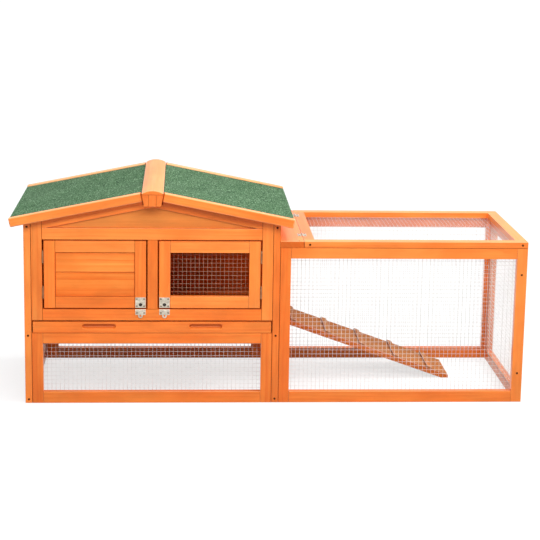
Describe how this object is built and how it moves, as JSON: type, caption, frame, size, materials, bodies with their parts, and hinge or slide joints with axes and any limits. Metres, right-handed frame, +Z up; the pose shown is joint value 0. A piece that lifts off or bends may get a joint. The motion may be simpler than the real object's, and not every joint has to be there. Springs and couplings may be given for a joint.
{
  "type": "chinchilla hutch",
  "caption": "Raised wooden pet hutch with a pitched felt roof, a boarded door, a mesh door and a pull-out tray, joined to a wire run with a ramp and a hinged lid.",
  "frame": {"origin": "on the ground under the middle of the whole hutch's bounding box", "axes": "X to the right along the front, from the house to the run; Y from front to back; Z up"},
  "size_m": [1.559, 0.58, 0.663],
  "materials": {
    "frame_timber": "orange stained fir, planed, satin",
    "board_timber": "orange stained fir boards, satin",
    "plywood": "stained plywood, satin",
    "ramp_timber": "pale stained fir, matt",
    "green_felt": "green mineral granules on bitumen felt, matt",
    "wire_mesh": "galvanised welded wire",
    "zinc_steel": "zinc plated, slightly dull",
    "dark_steel": "dark plated, satin",
    "dark_screws": "dark phosphated, dull"
  },
  "bodies": {
    "hutch": {"back_frame": "frame_timber", "back_gable_panel": "plywood", "back_gable_rafters": "frame_timber", "back_wall_boards": "board_timber", "fixed_hinge_leaves": "zinc_steel", "frame_screws": "dark_screws", "front_gable_panel": "plywood", "front_gable_rafters": "frame_timber", "hasp_leaves": "zinc_steel", "hasp_pins": "zinc_steel", "hinge_pins": "zinc_steel", "left_fascias": "frame_timber", "left_roof_board": "board_timber", "left_roof_felt": "green_felt", "left_side_frame": "frame_timber", "left_side_mesh": "wire_mesh", "left_wall_boards": "board_timber", "lower_back_mesh": "wire_mesh", "lower_front_frame": "frame_timber", "lower_front_mesh": "wire_mesh", "partition_boards": "board_timber", "ridge_battens": "frame_timber", "ridge_beam": "frame_timber", "ridge_cap": "frame_timber", "right_fascias": "frame_timber", "right_roof_board": "board_timber", "right_roof_felt": "green_felt", "right_side_frame": "frame_timber", "right_wall_boards": "board_timber", "run_back_frame": "frame_timber", "run_back_mesh": "wire_mesh", "run_end_frame": "frame_timber", "run_end_mesh": "wire_mesh", "run_front_frame": "frame_timber", "run_front_mesh": "wire_mesh", "run_hinge_board": "frame_timber", "tray_runners": "board_timber", "upper_front_frame": "frame_timber"},
    "left_door": {"left_door_frame": "frame_timber", "left_door_boards": "board_timber", "left_door_leaves": "zinc_steel", "left_hasp_plate": "zinc_steel"},
    "right_door": {"right_door_frame": "frame_timber", "right_door_mesh": "wire_mesh", "right_door_leaves": "zinc_steel", "right_hasp_plate": "zinc_steel"},
    "left_knob": {"left_turn_knob": "dark_steel"},
    "right_knob": {"right_turn_knob": "dark_steel"},
    "left_strap": {"left_hasp_strap": "zinc_steel"},
    "right_strap": {"right_hasp_strap": "zinc_steel"},
    "tray": {"tray_front": "frame_timber", "tray_base": "plywood", "tray_walls": "board_timber"},
    "ramp": {"ramp_board": "ramp_timber", "ramp_cleats": "ramp_timber", "ramp_leaves": "zinc_steel"},
    "lid": {"lid_frame": "frame_timber", "lid_mesh": "wire_mesh", "lid_leaves": "zinc_steel", "lid_screws": "dark_screws"}
  },
  "joints": [
    {"name": "left_door_hinge", "type": "hinge", "parent": "hutch", "child": "left_door", "pos_m": [-0.6817, -0.2553, 0.4005], "axis": [0, 0, -1], "range_deg": [0, 170]},
    {"name": "right_door_hinge", "type": "hinge", "parent": "hutch", "child": "right_door", "pos_m": [-0.0293, -0.2553, 0.4005], "axis": [0, 0, 1], "range_deg": [0, 170]},
    {"name": "left_strap_hinge", "type": "hinge", "parent": "hutch", "child": "left_strap", "pos_m": [-0.3915, -0.2553, 0.292], "axis": [-1, 0, 0], "range_deg": [0, 178]},
    {"name": "right_strap_hinge", "type": "hinge", "parent": "hutch", "child": "right_strap", "pos_m": [-0.3195, -0.2553, 0.292], "axis": [-1, 0, 0], "range_deg": [0, 178]},
    {"name": "left_knob_turn", "type": "hinge", "parent": "left_door", "child": "left_knob", "pos_m": [-0.3915, -0.2554, 0.308], "axis": [0, -1, 0], "range_deg": [0, 90]},
    {"name": "right_knob_turn", "type": "hinge", "parent": "right_door", "child": "right_knob", "pos_m": [-0.3195, -0.2554, 0.308], "axis": [0, -1, 0], "range_deg": [0, 90]},
    {"name": "tray_slide", "type": "slide", "parent": "hutch", "child": "tray", "axis": [0, -1, 0], "range_m": [0, 0.38]},
    {"name": "ramp_hinge", "type": "hinge", "parent": "hutch", "child": "ramp", "pos_m": [0.0298, 0.078, 0.213], "axis": [0, -1, 0], "range_deg": [0, 40]},
    {"name": "lid_hinge", "type": "hinge", "parent": "hutch", "child": "lid", "pos_m": [0.0985, -0.009, 0.50608], "axis": [0, -1, 0], "range_deg": [0, 105]}
  ]
}
